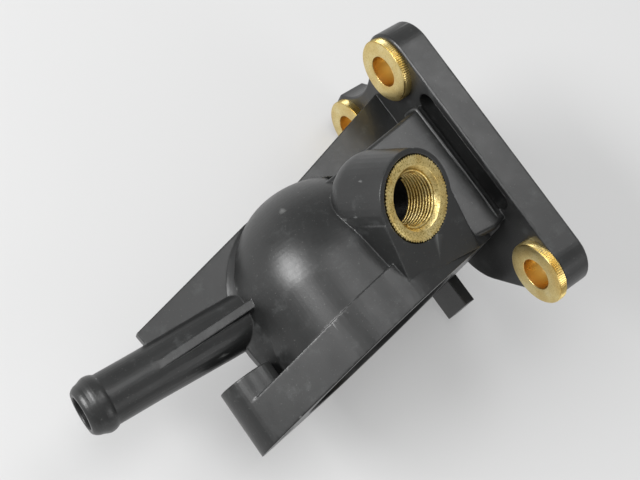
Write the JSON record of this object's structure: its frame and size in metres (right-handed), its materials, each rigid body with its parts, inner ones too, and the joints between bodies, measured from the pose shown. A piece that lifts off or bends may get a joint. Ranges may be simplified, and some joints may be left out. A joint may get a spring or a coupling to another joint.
{
  "type": "thermostat housing",
  "caption": "Moulded coolant thermostat housing with a side hose nozzle, brass-sleeved engine flange, domed chamber and a threaded brass sensor port.",
  "frame": {"origin": "centre of the coolant port in the engine flange's mating face", "axes": "+X out of the engine flange's mating face, towards the engine; +Z towards the sensor port's side; -Y towards the thermostat cover's side"},
  "size_m": [0.1233, 0.0848, 0.0699],
  "materials": {
    "nylon": "satin",
    "brass": "machined"
  },
  "bodies": {
    "root": {"housing_body": "nylon", "flange_sleeve_upper": "brass", "flange_sleeve_front": "brass", "flange_sleeve_lower": "brass", "sensor_insert": "brass"}
  },
  "joints": []
}
